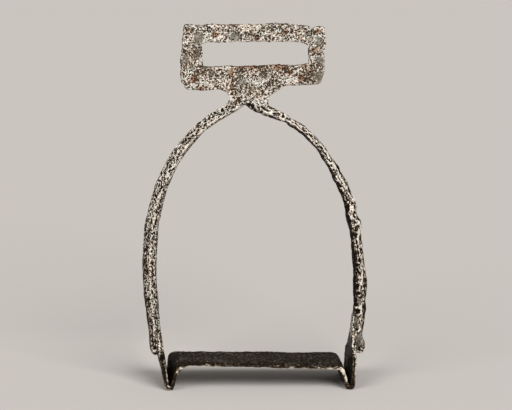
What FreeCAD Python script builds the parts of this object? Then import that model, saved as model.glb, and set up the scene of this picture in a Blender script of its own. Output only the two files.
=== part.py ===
import FreeCAD, Part
import math
import os

# Hand-forged iron stirrup: a strap frame on a neck, two ridged side bars, and a tread bent from one flat strip.
# +X is the right side, +Y the back, +Z up. The origin is on the ground below the middle of the arch. Millimetres.

# Arch of the two side bars, measured to the middle of the bars
arch_half_width = 64.5
arch_height = 177.0
bar_width = 7.0
bar_depth = 8.0

# Strap frame
frame_width = 85.6
frame_height = 38.8
frame_rise = 6.0
frame_thickness = 4.0
frame_offset = -1.8
frame_corner_radius = 4.4
frame_edge_bevel = 0.6

# Bars of the frame, which leave the slot for the strap between them
left_post_width = 12.3
right_post_width = 9.5
top_bar_height = 10.7
lower_bar_height = 13.7
slot_corner_radius = 2.0

# Neck, which swells below the frame
neck_thickness = 5.6
neck_fade = 11.0

# Tread strip: height of its middle, and reach to the front and the back, at each end
strip_thickness = 2.4
front_left_height = 17.4
front_right_height = 13.6
back_left_height = 14.2
back_right_height = 12.8
front_left_reach = 12.4
front_right_reach = 18.0
back_left_reach = 18.0
back_right_reach = 14.0

# V folds at the ends of the strip, and the shoulders where their inner legs turn into the tread
fold_inner_radius = 0.4
fold_wear = 0.3
fold_skew = 1.4
front_left_shoulder_radius = 9.0
front_right_shoulder_radius = 2.4
back_left_shoulder_radius = 2.4
back_right_shoulder_radius = 14.0

# Tangs that run from the folds up the inner side of the bars
tang_shoulder_height = 20.5
tang_top_height = 42.0
tang_top_thickness = 1.2
tang_top_half_depth = 3.0
flare_top_height = 37.0
flare_foot_height = 16.5
flare_sink = 3.0

# One overrun for every cut
overrun = 10.0

# The two ends of the strip, and its two edges
left = -1
right = 1
front = -1
back = 1

# Place of each fold as a share of the arch's half width, and the leans of its two legs, in degrees from the vertical
fold_share = {left: -0.833, right: 0.856}
tang_inner_lean = {left: 7.0, right: 4.6}
tang_outer_lean = {left: 11.5, right: 5.6}
leg_lean = {
    (left, front): 15.0,
    (right, front): 17.0,
    (left, back): 3.0,
    (right, back): 9.0,
}

tread_height = {
    (left, front): front_left_height,
    (right, front): front_right_height,
    (left, back): back_left_height,
    (right, back): back_right_height,
}
tread_reach = {
    (left, front): front_left_reach,
    (right, front): front_right_reach,
    (left, back): back_left_reach,
    (right, back): back_right_reach,
}
shoulder_radius = {
    (left, front): front_left_shoulder_radius,
    (right, front): front_right_shoulder_radius,
    (left, back): back_left_shoulder_radius,
    (right, back): back_right_shoulder_radius,
}

# Stations of the side bars from the neck to the shoulder on the strip. Each holds: reach to the side, as a share of
# the arch's half width; height, as a share of the arch's height; width, as a share of the bar's width; depth, as a
# share of the bar's depth; place of the ridge between the middle of the bar (0) and its inner edge (1); and how far
# the section is squared off, from a lozenge (0) to a rectangle (1).
left_bar_shares = (
    (-0.020, 1.025, 0.94, 0.80, 0.55, 0.20),
    (-0.248, 0.967, 0.88, 0.84, 0.55, 0.20),
    (-0.427, 0.928, 0.90, 0.88, 0.50, 0.20),
    (-0.590, 0.874, 0.94, 0.90, 0.45, 0.20),
    (-0.722, 0.816, 0.97, 0.92, 0.35, 0.22),
    (-0.831, 0.743, 0.94, 0.94, 0.20, 0.22),
    (-0.918, 0.656, 0.92, 0.96, 0.10, 0.24),
    (-0.975, 0.559, 1.04, 1.00, 0.05, 0.24),
    (-0.998, 0.452, 1.08, 1.00, 0.00, 0.26),
    (-0.994, 0.339, 1.03, 1.00, 0.00, 0.28),
    (-0.971, 0.254, 1.02, 1.00, 0.00, 0.36),
    (-0.951, 0.190, 1.03, 0.94, 0.00, 0.50),
    (-0.950, 0.152, 1.10, 0.90, 0.00, 0.60),
    (-0.945, 0.118, 0.60, 0.80, 0.00, 0.60),
)
right_bar_shares = (
    (-0.185, 1.017, 0.98, 0.80, 0.10, 0.20),
    (0.057, 0.966, 0.94, 0.84, 0.10, 0.20),
    (0.240, 0.935, 0.80, 0.86, 0.10, 0.20),
    (0.394, 0.901, 0.76, 0.88, 0.10, 0.20),
    (0.563, 0.841, 0.76, 0.90, 0.20, 0.22),
    (0.674, 0.785, 0.78, 0.92, 0.30, 0.22),
    (0.763, 0.729, 0.84, 0.94, 0.35, 0.24),
    (0.845, 0.661, 0.86, 0.96, 0.35, 0.24),
    (0.902, 0.588, 0.97, 1.00, 0.35, 0.26),
    (0.944, 0.503, 0.89, 1.00, 0.35, 0.26),
    (0.974, 0.412, 1.06, 1.04, 0.30, 0.28),
    (0.983, 0.339, 1.20, 1.06, 0.25, 0.28),
    (0.977, 0.276, 0.92, 1.00, 0.20, 0.32),
    (0.964, 0.215, 0.99, 1.00, 0.10, 0.44),
    (0.955, 0.158, 1.09, 1.00, 0.00, 0.56),
    (0.956, 0.108, 1.14, 0.96, 0.00, 0.66),
)
bar_shares = {left: left_bar_shares, right: right_bar_shares}
apex_share = -0.113

# Outline of the strap frame and neck, clockwise from the upper left corner. Each holds: reach from the frame's
# middle, as a share of half its width; height over the frame's foot, as a share of the frame's height, or below it,
# as a share of the neck's drop; and the corner's rounding, as a share of the frame's corner radius.
frame_outline_shares = (
    (-0.950, 1.000, 0.45),
    (-0.850, 1.010, 0.75),
    (-0.712, 0.980, 0.25),
    (-0.620, 0.996, 0.75),
    (0.440, 0.994, 2.20),
    (0.765, 0.952, 0.55),
    (0.812, 0.912, 0.08),
    (0.870, 0.950, 0.25),
    (0.995, 0.948, 0.35),
    (1.000, 0.690, 2.00),
    (0.985, 0.240, 2.00),
    (0.930, 0.045, 0.65),
    (0.450, 0.050, 1.25),
    (0.215, -0.360, 0.75),
    (0.190, -1.190, 0.25),
    (-0.128, -0.660, 0.25),
    (-0.380, -0.985, 0.25),
    (-0.318, -0.420, 0.50),
    (-0.345, -0.150, 0.50),
    (-0.460, 0.010, 1.00),
    (-0.660, -0.060, 1.50),
    (-0.915, 0.005, 0.60),
    (-0.985, 0.120, 1.25),
    (-1.000, 0.400, 1.50),
)

# Outline of the slot for the strap, clockwise from the upper left corner. Each holds: reach from the slot's middle,
# as a share of half its width; height over the slot's sill, as a share of its height; and the corner's rounding, as a
# share of the slot's corner radius.
slot_outline_shares = (
    (-1.000, 0.930, 0.60),
    (-0.880, 1.010, 1.40),
    (0.800, 0.990, 2.20),
    (1.000, 0.820, 1.20),
    (0.990, 0.070, 0.60),
    (0.780, 0.025, 2.20),
    (-0.120, 0.000, 4.30),
    (-0.960, 0.010, 1.00),
)

# Places that the frame's seams run through: two notches are corners of the outline, four are corners of the slot,
# and the lap of the left post ends at a share of the frame's height on the left edge
left_notch_index = 2
right_notch_index = 6
upper_left_index = 0
upper_right_index = 3
lower_right_index = 4
lower_left_index = 7
lap_height_share = 0.300

frame_foot = arch_height + frame_rise
slot_foot = frame_foot + lower_bar_height
slot_width = frame_width - left_post_width - right_post_width
slot_height = frame_height - lower_bar_height - top_bar_height
slot_offset = frame_offset + (left_post_width - right_post_width) / 2
neck_drop = frame_rise + bar_width
fold_outer_radius = fold_inner_radius + strip_thickness
fold_centre_height = fold_outer_radius - fold_wear


def in_plane(x, z):
    """Point of the arch's own plane."""
    return FreeCAD.Vector(x, 0, z)


def flat_wire(points):
    """Closed wire of straight edges."""
    return Part.makePolygon(points + points[:1])


def corner_arc(before, corner, after, radius):
    """Start, middle and end of the arc that rounds a corner, held inside the two sides that meet there."""
    one_way = before - corner
    other_way = after - corner
    room = min(one_way.Length, other_way.Length) / 2
    half_angle = one_way.getAngle(other_way) / 2
    reach = min(radius / math.tan(half_angle), room)
    true_radius = reach * math.tan(half_angle)
    one_way.normalize()
    other_way.normalize()
    middle_way = one_way + other_way
    middle_way.normalize()
    to_middle = true_radius / math.sin(half_angle) - true_radius
    return (corner + one_way * reach, corner + middle_way * to_middle, corner + other_way * reach)


def joined_wire(stretches):
    """Closed wire through points and arcs: each stretch is one point, or an arc's start, middle and end."""
    edges = []
    for index, stretch in enumerate(stretches):
        following = stretches[(index + 1) % len(stretches)]
        if len(stretch) > 1:
            edges.append(Part.Arc(*stretch).toShape())
        edges.append(Part.LineSegment(stretch[-1], following[0]).toShape())
    return Part.Wire(edges)


def rounded_wire(corners, radii):
    """Closed wire with an arc at each corner."""
    stretches = []
    for index, corner in enumerate(corners):
        following = corners[(index + 1) % len(corners)]
        stretches.append(corner_arc(corners[index - 1], corner, following, radii[index]))
    return joined_wire(stretches)


def slab(wire, thickness):
    """Plate of the given thickness, lying evenly on both sides of the arch's plane."""
    plate = Part.Face(wire).extrude(FreeCAD.Vector(0, thickness, 0))
    plate.translate(FreeCAD.Vector(0, -thickness / 2, 0))
    return plate


def frame_corners():
    """Corners of the strap frame's outline, before they are rounded."""
    corners = []
    for reach_share, height_share, rounding_share in frame_outline_shares:
        span = frame_height if height_share > 0 else neck_drop
        x = frame_offset + reach_share * frame_width / 2
        corners.append(in_plane(x, frame_foot + height_share * span))
    return corners


def slot_corners():
    """Corners of the strap slot, before they are rounded."""
    corners = []
    for reach_share, height_share, rounding_share in slot_outline_shares:
        x = slot_offset + reach_share * slot_width / 2
        corners.append(in_plane(x, slot_foot + height_share * slot_height))
    return corners


def frame_wire():
    """Outline of the strap frame and neck."""
    return rounded_wire(frame_corners(), [row[-1] * frame_corner_radius for row in frame_outline_shares])


def slot_wire():
    """Outline of the strap slot."""
    return rounded_wire(slot_corners(), [row[-1] * slot_corner_radius for row in slot_outline_shares])


def frame_blank():
    """Strap frame and neck as one plate with its slot, the edges of its broad faces hammered to a bevel."""
    plate = slab(frame_wire(), frame_thickness).cut(slab(slot_wire(), frame_thickness + overrun))
    rims = [edge for edge in plate.Edges if edge.BoundBox.YLength < frame_thickness / 2]
    return plate.makeChamfer(frame_edge_bevel, rims)


def neck_swelling():
    """Lower part of the neck, which grows thicker than the plate towards the bars."""
    thin = frame_thickness / 2
    thick = neck_thickness / 2
    top = frame_foot
    full = frame_foot - neck_fade
    foot = full - overrun
    profile = flat_wire([
        FreeCAD.Vector(-frame_width, -thin, top),
        FreeCAD.Vector(-frame_width, thin, top),
        FreeCAD.Vector(-frame_width, thick, full),
        FreeCAD.Vector(-frame_width, thick, foot),
        FreeCAD.Vector(-frame_width, -thick, foot),
        FreeCAD.Vector(-frame_width, -thick, full),
    ])
    wedge = Part.Face(profile).extrude(FreeCAD.Vector(2 * frame_width, 0, 0))
    return slab(frame_wire(), neck_thickness).common(wedge)


def frame_seams():
    """Points that the frame's seams run through."""
    outline = frame_corners()
    slot = slot_corners()
    left_edge = frame_offset - frame_width / 2 - overrun
    return {
        "left_notch": outline[left_notch_index],
        "right_notch": outline[right_notch_index],
        "upper_left": slot[upper_left_index],
        "upper_right": slot[upper_right_index],
        "lower_right": slot[lower_right_index],
        "lower_left": slot[lower_left_index],
        "lap": in_plane(left_edge, frame_foot + lap_height_share * frame_height),
    }


def above(point):
    """The same place, well above the frame."""
    return in_plane(point.x, frame_foot + frame_height + overrun)


def below(point):
    """The same place, well below the neck."""
    return in_plane(point.x, frame_foot - neck_drop - overrun)


def frame_piece(boundary):
    """Piece of the strap frame inside a closed run of seam points."""
    return frame_blank().common(slab(flat_wire(boundary), frame_thickness + overrun))


def strap_frame_top_bar():
    seam = frame_seams()
    return frame_piece([
        above(seam["left_notch"]), above(seam["right_notch"]), seam["right_notch"], seam["upper_right"],
        seam["upper_left"], seam["left_notch"],
    ])


def strap_frame_left_post():
    seam = frame_seams()
    return frame_piece([
        above(seam["lap"]), above(seam["left_notch"]), seam["left_notch"], seam["upper_left"],
        seam["lower_left"], seam["lap"],
    ])


def strap_frame_right_post():
    seam = frame_seams()
    far_right = in_plane(frame_offset + frame_width / 2 + overrun, 0)
    return frame_piece([
        above(seam["right_notch"]), above(far_right), below(far_right), below(seam["lower_right"]),
        seam["lower_right"], seam["upper_right"], seam["right_notch"],
    ])


def under_arch():
    """Everything below the middle lines of the two bars where they meet the neck."""
    rows = (left_bar_shares[2], left_bar_shares[1], (apex_share, 1), right_bar_shares[1], right_bar_shares[2])
    line = [in_plane(row[0] * arch_half_width, row[1] * arch_height) for row in rows]
    return slab(flat_wire(line + [in_plane(line[-1].x, 0), in_plane(line[0].x, 0)]), bar_depth)


def neck_plate():
    """Lower bar of the frame with the neck, seated on the upper half of the two side bars."""
    seam = frame_seams()
    plate = frame_piece([
        seam["lap"], seam["lower_left"], seam["lower_right"], below(seam["lower_right"]), below(seam["lap"]),
    ])
    plate = plate.fuse(neck_swelling()).cut(under_arch())
    return plate.cut(side_bar(left)).cut(side_bar(right))


def bar_section(middle, outward, width, depth, ridge_share, square_share):
    """Lozenge with flattened corners; its front and back ridges can lie nearer to the inner edge."""
    half_width = width / 2
    half_depth = depth / 2
    edge_flat = square_share * half_depth
    ridge_flat = square_share * half_width
    ridge = -ridge_share * half_width * (1 - square_share)
    corners = (
        (half_width, -edge_flat),
        (ridge + ridge_flat, -half_depth),
        (ridge - ridge_flat, -half_depth),
        (-half_width, -edge_flat),
        (-half_width, edge_flat),
        (ridge - ridge_flat, half_depth),
        (ridge + ridge_flat, half_depth),
        (half_width, edge_flat),
    )
    return flat_wire([middle + outward * across + FreeCAD.Vector(0, deep, 0) for across, deep in corners])


def bar_loft(stations):
    """Side bar lofted through sections that stand square to its middle line."""
    middles = [in_plane(row[0] * arch_half_width, row[1] * arch_height) for row in stations]
    path = Part.BSplineCurve()
    path.interpolate(middles)
    sections = []
    for middle, row in zip(middles, stations):
        along = path.tangent(path.parameter(middle))[0]
        outward = FreeCAD.Vector(-along.z, 0, along.x)
        if outward.dot(middle - in_plane(0, arch_height / 2)) < 0:
            outward = outward * -1
        sections.append(bar_section(middle, outward, row[2] * bar_width, row[3] * bar_depth, row[4], row[5]))
    return Part.makeLoft(sections, True, False)


def half_space(side):
    """Block on one side of the seam between the two bars at the top of the arch."""
    seam = apex_share * arch_half_width
    far = side * (arch_half_width + overrun) * 2
    top = arch_height * 2
    corners = [in_plane(seam, 0), in_plane(far, 0), in_plane(far, top), in_plane(seam, top)]
    return slab(flat_wire(corners), bar_depth * 2 + overrun)


def side_bar(side):
    """One side bar, cut on the seam at the neck and scarfed against the outer face of the tang."""
    return bar_loft(bar_shares[side]).common(half_space(side)).cut(scarf_block(side))


def fold_centre(side, face):
    """Middle of the fold's bend on the front or the back edge of the strip."""
    askew = -face * fold_skew / 2
    return in_plane(fold_share[side] * arch_half_width + askew, fold_centre_height)


def bend_start(centre, radius, side, lean):
    """Point where a fold's arc touches the line that leans out on one side of it."""
    angle = math.radians(lean)
    return centre + in_plane(side * math.cos(angle), -math.sin(angle)) * radius


def on_lean(centre, radius, side, lean, height):
    """Point at a height on the line that leans out from a fold's arc."""
    start = bend_start(centre, radius, side, lean)
    climb = height - start.z
    return start + in_plane(side * math.tan(math.radians(lean)) * climb, climb)


def leg_corner(centre, radius, side, lean, near, far):
    """Corner where the leg's face meets the tread's face, which runs from near to far."""
    start = bend_start(centre, radius, -side, lean)
    run = math.tan(math.radians(lean))
    slope = (far.z - near.z) / (far.x - near.x)
    rise = (near.z - start.z + slope * (start.x - near.x)) / (1 + side * slope * run)
    return start + in_plane(-side * run * rise, rise)


def strip_bends(face, under):
    """The bends of the strip's under or upper face on one edge: fold and shoulder left, shoulder and fold right."""
    if under:
        radius, lift, extra, tang_lean = fold_outer_radius, -strip_thickness / 2, 0, tang_outer_lean
    else:
        radius, lift, extra, tang_lean = fold_inner_radius, strip_thickness / 2, strip_thickness, tang_inner_lean
    centres = {side: fold_centre(side, face) for side in (left, right)}
    ends = {side: in_plane(centres[side].x, tread_height[side, face] + lift) for side in (left, right)}
    bends = {}
    for side in (left, right):
        lean = leg_lean[side, face]
        start = bend_start(centres[side], radius, side, tang_lean[side])
        end = bend_start(centres[side], radius, -side, lean)
        corner = leg_corner(centres[side], radius, side, lean, ends[side], ends[-side])
        fold = (start, centres[side] + in_plane(0, -radius), end)
        bends[side] = (fold, corner_arc(end, corner, ends[-side], shoulder_radius[side, face] + extra))
    return [bends[left][0], bends[left][1], bends[right][1][::-1], bends[right][0][::-1]]


def tang_ends(side, face):
    """Corners of a tang: its thickest place at the shoulder, and the outer and inner corner of its thin top."""
    centre = fold_centre(side, face)
    inner_top = on_lean(centre, fold_inner_radius, side, tang_inner_lean[side], tang_top_height)
    return {
        "shoulder": on_lean(centre, fold_outer_radius, side, tang_outer_lean[side], tang_shoulder_height),
        "inner_top": inner_top,
        "outer_top": inner_top + in_plane(side * tang_top_thickness, 0),
    }


def strip_outline(face):
    """Outline of the strip on its front or back edge, tang to tang, laid flat in the arch's plane."""
    ends = {side: tang_ends(side, face) for side in (left, right)}
    stretches = [(ends[left]["outer_top"],), (ends[left]["shoulder"],)]
    stretches += strip_bends(face, True)
    stretches += [(ends[right]["shoulder"],), (ends[right]["outer_top"],), (ends[right]["inner_top"],)]
    stretches += [bend[::-1] for bend in reversed(strip_bends(face, False))]
    return stretches + [(ends[left]["inner_top"],)]


def depth_at(x, face):
    """Place in Y of the strip's front or back edge, which run askew across the tread."""
    start = fold_share[left] * arch_half_width
    end = fold_share[right] * arch_half_width
    across_share = (x - start) / (end - start)
    reach = tread_reach[left, face] + across_share * (tread_reach[right, face] - tread_reach[left, face])
    return face * reach


def set_askew(stretches, face):
    """The same stretches moved out to the strip's front or back edge."""
    return [tuple(FreeCAD.Vector(point.x, depth_at(point.x, face), point.z) for point in stretch)
            for stretch in stretches]


def tang_waist(side, face):
    """Cutter that narrows a tang from the strip's full depth to the depth of the bar above it."""
    fold_x = fold_centre(side, face).x
    full = depth_at(fold_x, face) + face * strip_thickness
    foot = FreeCAD.Vector(fold_x, full, flare_foot_height)
    top = FreeCAD.Vector(fold_x, face * tang_top_half_depth, flare_top_height)
    chord = top - foot
    inward = FreeCAD.Vector(0, -face * chord.z, face * chord.y)
    inward.normalize()
    middle = foot + chord / 2 + inward * flare_sink
    far = full + face * overrun
    high = tang_top_height + overrun
    profile = joined_wire([
        (foot, middle, top),
        (FreeCAD.Vector(fold_x, top.y, high),),
        (FreeCAD.Vector(fold_x, far, high),),
        (FreeCAD.Vector(fold_x, far, flare_foot_height),),
    ])
    return Part.Face(profile).extrude(FreeCAD.Vector(side * arch_half_width, 0, 0))


def scarf_block(side):
    """Everything on the inner side of a tang's outer face, up to the tang's top: the bars are cut back by it."""
    wires = []
    for face in (front, back):
        ends = tang_ends(side, face)
        centre = fold_centre(side, face)
        foot = on_lean(centre, fold_outer_radius, side, tang_outer_lean[side], fold_centre_height)
        stretches = [
            (foot,), (ends["shoulder"],), (ends["outer_top"],), (in_plane(0, tang_top_height),),
            (in_plane(0, fold_centre_height),),
        ]
        wires.append(joined_wire(set_askew(stretches, face)))
    return Part.makeLoft(wires, True, True)


def tread_strip():
    """One strip bent into tang, V fold, leg, tread, leg, V fold and tang; worn flat where it stands."""
    edges = [joined_wire(set_askew(strip_outline(face), face)) for face in (front, back)]
    strip = Part.makeLoft(edges, True, True)
    for side in (left, right):
        for face in (front, back):
            strip = strip.cut(tang_waist(side, face))
    span = (arch_half_width + overrun) * 2
    ground = Part.makeBox(span, span, overrun, FreeCAD.Vector(-span / 2, -span / 2, -overrun))
    return strip.cut(ground)


def export(name, shape):
    """Write one piece to its own file."""
    shape.exportStep(os.path.join("parts", name + ".step"))
    print(name, "valid", shape.isValid(), "solids", len(shape.Solids), "volume", round(shape.Volume))


os.makedirs("parts", exist_ok=True)
export("strap_frame_top_bar", strap_frame_top_bar())
export("strap_frame_left_post", strap_frame_left_post())
export("strap_frame_right_post", strap_frame_right_post())
export("neck_plate", neck_plate())
export("left_side_bar", side_bar(left))
export("right_side_bar", side_bar(right))
export("tread_strip", tread_strip())
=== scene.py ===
import bmesh
import bpy
import math
import numpy as np
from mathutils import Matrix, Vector


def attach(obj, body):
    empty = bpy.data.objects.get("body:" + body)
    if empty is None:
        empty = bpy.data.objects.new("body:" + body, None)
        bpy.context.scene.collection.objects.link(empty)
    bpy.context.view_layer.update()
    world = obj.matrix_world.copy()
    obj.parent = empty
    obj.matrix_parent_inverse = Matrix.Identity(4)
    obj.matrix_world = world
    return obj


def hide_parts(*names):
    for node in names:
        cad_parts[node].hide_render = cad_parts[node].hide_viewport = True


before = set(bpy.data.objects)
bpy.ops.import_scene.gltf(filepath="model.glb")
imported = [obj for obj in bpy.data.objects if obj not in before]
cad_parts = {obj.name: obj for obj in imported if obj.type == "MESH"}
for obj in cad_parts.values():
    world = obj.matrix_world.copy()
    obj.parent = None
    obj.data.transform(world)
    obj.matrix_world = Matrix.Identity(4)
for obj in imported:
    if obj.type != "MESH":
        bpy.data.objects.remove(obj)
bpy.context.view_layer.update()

# Side bars. Two bars of wrought iron, drawn out under the hammer to a lozenge with a ridge along the front
# and the back, then bent into the two halves of the arch. Each is forge-welded under the neck and scarfed on
# a tang of the tread strip.
mm = 0.001
arch_half_width = 64.5 * mm
arch_height = 177.0 * mm
bar_width = 7.0 * mm
bar_depth = 8.0 * mm
bar_rings = 430
bar_corners = 64
tang_top = 42.0 * mm
left_scarf_reach = 60.2 * mm
right_scarf_reach = 59.9 * mm

# Stations from the neck to the shoulder. Each holds: reach to the side and height, as shares of the arch;
# width and depth, as shares of the bar; place of the ridge between the middle (0) and the inner edge (1);
# and how far the section is squared off, from a lozenge (0) to a rectangle (1).
left_bar_shares = (
    (-0.020, 1.025, 0.94, 0.62, 0.55, 0.20),
    (-0.248, 0.967, 0.90, 0.84, 0.55, 0.20),
    (-0.427, 0.928, 0.94, 0.88, 0.50, 0.20),
    (-0.590, 0.874, 1.00, 0.90, 0.45, 0.20),
    (-0.722, 0.816, 1.06, 0.92, 0.35, 0.22),
    (-0.830, 0.743, 1.06, 0.94, 0.20, 0.22),
    (-0.916, 0.656, 1.08, 0.96, 0.10, 0.24),
    (-0.971, 0.559, 1.23, 1.00, 0.05, 0.24),
    (-0.994, 0.452, 1.27, 1.00, 0.00, 0.26),
    (-0.990, 0.339, 1.23, 1.00, 0.00, 0.28),
    (-0.969, 0.254, 1.15, 1.00, 0.00, 0.36),
    (-0.951, 0.190, 1.06, 0.94, 0.00, 0.50),
    (-0.950, 0.152, 1.10, 0.90, 0.00, 0.60),
    (-0.947, 0.130, 0.98, 0.86, 0.00, 0.60),
    (-0.940, 0.116, 0.60, 0.62, 0.00, 0.60),
    (-0.935, 0.111, 0.15, 0.25, 0.00, 0.60),
)
right_bar_shares = (
    (-0.185, 1.017, 0.98, 0.62, 0.10, 0.20),
    (0.057, 0.966, 0.94, 0.84, 0.10, 0.20),
    (0.240, 0.935, 0.80, 0.86, 0.10, 0.20),
    (0.394, 0.901, 0.76, 0.88, 0.10, 0.20),
    (0.563, 0.841, 0.76, 0.90, 0.20, 0.22),
    (0.674, 0.785, 0.78, 0.92, 0.30, 0.22),
    (0.763, 0.729, 0.84, 0.94, 0.35, 0.24),
    (0.845, 0.661, 0.86, 0.96, 0.35, 0.24),
    (0.902, 0.588, 0.97, 1.00, 0.35, 0.26),
    (0.940, 0.503, 0.97, 1.00, 0.35, 0.26),
    (0.974, 0.412, 1.06, 1.04, 0.30, 0.28),
    (0.983, 0.339, 1.20, 1.06, 0.25, 0.28),
    (0.984, 0.276, 1.06, 1.00, 0.20, 0.32),
    (0.970, 0.215, 1.10, 1.00, 0.10, 0.44),
    (0.955, 0.158, 1.09, 1.00, 0.00, 0.56),
    (0.956, 0.120, 1.14, 0.96, 0.00, 0.66),
    (0.954, 0.108, 0.86, 0.76, 0.00, 0.66),
    (0.953, 0.104, 0.25, 0.30, 0.00, 0.66),
)


def add(tree, kind, inputs=None, **settings):
    """Add a node with its settings.

    Each input, given by name or number, gets a value, or a link from a socket or from a node's first output.
    """
    node = tree.nodes.new(kind)
    for name, value in settings.items():
        setattr(node, name, value)
    for key, value in (inputs or {}).items():
        if isinstance(key, int):
            socket = node.inputs[key]
        else:
            socket = next(s for s in node.inputs if s.name == key and s.enabled)
        if isinstance(value, bpy.types.Node):
            value = next(s for s in value.outputs if s.enabled)
        if isinstance(value, bpy.types.NodeSocket):
            tree.links.new(value, socket)
        else:
            socket.default_value = value
    return node


def new_tree(name, inputs):
    """Geometry node tree with a geometry in and out, and the named inputs."""
    tree = bpy.data.node_groups.new(name, "GeometryNodeTree")
    tree.interface.new_socket("Geometry", in_out="INPUT", socket_type="NodeSocketGeometry")
    tree.interface.new_socket("Geometry", in_out="OUTPUT", socket_type="NodeSocketGeometry")
    for label, kind in inputs.items():
        tree.interface.new_socket(label, in_out="INPUT", socket_type="NodeSocket" + kind)
    return tree, add(tree, "NodeGroupInput").outputs


def finish_tree(tree, geometry, iron):
    """End a tree in real geometry with its material."""
    real = add(tree, "GeometryNodeRealizeInstances", {"Geometry": geometry})
    dressed = add(tree, "GeometryNodeSetMaterial", {"Geometry": real, "Material": iron})
    add(tree, "NodeGroupOutput", {"Geometry": dressed})


def ridged_bar_tree():
    """Sweep of a lozenge section along the stations, its inner side laid flat on the tang."""
    tree, given = new_tree("ridged_bar", {
        "Rings": "Int", "Corners": "Int", "Side": "Float", "Scarf Reach": "Float", "Scarf Top": "Float",
        "Iron": "Material",
    })
    line = add(tree, "GeometryNodeMeshToCurve", {"Mesh": given["Geometry"]})
    line = add(tree, "GeometryNodeCurveSplineType", {"Curve": line}, spline_type="CATMULL_ROM")
    line = add(tree, "GeometryNodeResampleCurve", {"Curve": line, "Count": given["Rings"]})
    line = add(tree, "GeometryNodeStoreNamedAttribute", {
        "Geometry": line, "Name": "centre", "Value": add(tree, "GeometryNodeInputPosition"),
    }, data_type="FLOAT_VECTOR")
    line = add(tree, "GeometryNodeStoreNamedAttribute", {
        "Geometry": line, "Name": "along", "Value": add(tree, "GeometryNodeInputTangent"),
    }, data_type="FLOAT_VECTOR")
    run = next(s for s in add(tree, "GeometryNodeSplineParameter").outputs if s.name == "Length")
    line = add(tree, "GeometryNodeStoreNamedAttribute", {"Geometry": line, "Name": "run", "Value": run})
    ring = add(tree, "GeometryNodeCurvePrimitiveCircle", {"Resolution": given["Corners"], "Radius": 1.0})
    turn = add(tree, "ShaderNodeMath", {
        0: add(tree, "GeometryNodeInputIndex"), 1: given["Corners"],
    }, operation="DIVIDE")
    turn = add(tree, "ShaderNodeMath", {0: turn, 1: math.tau}, operation="MULTIPLY")
    ring = add(tree, "GeometryNodeStoreNamedAttribute", {"Geometry": ring, "Name": "turn", "Value": turn})
    tube = add(tree, "GeometryNodeCurveToMesh", {"Curve": line, "Profile Curve": ring, "Fill Caps": True})
    told = {label: add(tree, "GeometryNodeInputNamedAttribute", {"Name": label}).outputs[0]
            for label in ("square", "turn", "ridge", "half_width", "half_depth", "run")}

    # Superellipse through the middle of the flattened corner: power 1 / (1 - log2(1 + squareness))
    power = add(tree, "ShaderNodeMath", {0: told["square"], 1: 1.0}, operation="ADD")
    power = add(tree, "ShaderNodeMath", {0: power, 1: 2.0}, operation="LOGARITHM")
    power = add(tree, "ShaderNodeMath", {0: 1.0, 1: power}, operation="SUBTRACT")
    power = add(tree, "ShaderNodeMath", {0: 1.0, 1: power}, operation="DIVIDE")
    sides = []
    powers = []
    for operation in ("COSINE", "SINE"):
        side = add(tree, "ShaderNodeMath", {0: told["turn"]}, operation=operation)
        size = add(tree, "ShaderNodeMath", {0: side}, operation="ABSOLUTE")
        sides.append(side)
        powers.append(add(tree, "ShaderNodeMath", {0: size, 1: power}, operation="POWER"))
    reach = add(tree, "ShaderNodeMath", {0: powers[0], 1: powers[1]}, operation="ADD")
    root = add(tree, "ShaderNodeMath", {0: -1.0, 1: power}, operation="DIVIDE")
    reach = add(tree, "ShaderNodeMath", {0: reach, 1: root}, operation="POWER")
    across = add(tree, "ShaderNodeMath", {0: sides[0], 1: reach}, operation="MULTIPLY")
    deep = add(tree, "ShaderNodeMath", {0: sides[1], 1: reach}, operation="MULTIPLY")

    # The ridge lies off the middle, more so where the section is sharp
    sharp = add(tree, "ShaderNodeMath", {0: 1.0, 1: told["square"]}, operation="SUBTRACT")
    shift = add(tree, "ShaderNodeMath", {0: told["ridge"], 1: sharp}, operation="MULTIPLY")
    height = add(tree, "ShaderNodeMath", {0: deep}, operation="ABSOLUTE")
    shift = add(tree, "ShaderNodeMath", {0: shift, 1: height}, operation="MULTIPLY")
    across = add(tree, "ShaderNodeMath", {0: across, 1: shift}, operation="SUBTRACT")
    across = add(tree, "ShaderNodeMath", {0: across, 1: told["half_width"]}, operation="MULTIPLY")
    across = add(tree, "ShaderNodeMath", {0: across, 1: given["Side"]}, operation="MULTIPLY")
    deep = add(tree, "ShaderNodeMath", {0: deep, 1: told["half_depth"]}, operation="MULTIPLY")

    # The patterns of the skin follow the bar laid out straight
    tube = add(tree, "GeometryNodeStoreNamedAttribute", {
        "Geometry": tube, "Name": "laid",
        "Value": add(tree, "ShaderNodeCombineXYZ", {"X": across, "Y": deep, "Z": told["run"]}),
    }, data_type="FLOAT_VECTOR")
    along = add(tree, "GeometryNodeInputNamedAttribute", {
        "Name": "along",
    }, data_type="FLOAT_VECTOR").outputs[0]
    centre = add(tree, "GeometryNodeInputNamedAttribute", {
        "Name": "centre",
    }, data_type="FLOAT_VECTOR").outputs[0]
    outward = add(tree, "ShaderNodeVectorMath", {0: along, 1: (0, 1, 0)}, operation="CROSS_PRODUCT")
    outward = add(tree, "ShaderNodeVectorMath", {0: outward}, operation="NORMALIZE")
    outward = add(tree, "ShaderNodeVectorMath", {0: outward, "Scale": across}, operation="SCALE")
    place = add(tree, "ShaderNodeVectorMath", {0: centre, 1: outward}, operation="ADD")
    place = add(tree, "ShaderNodeVectorMath", {
        0: place, 1: add(tree, "ShaderNodeCombineXYZ", {"Y": deep}),
    }, operation="ADD")

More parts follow.
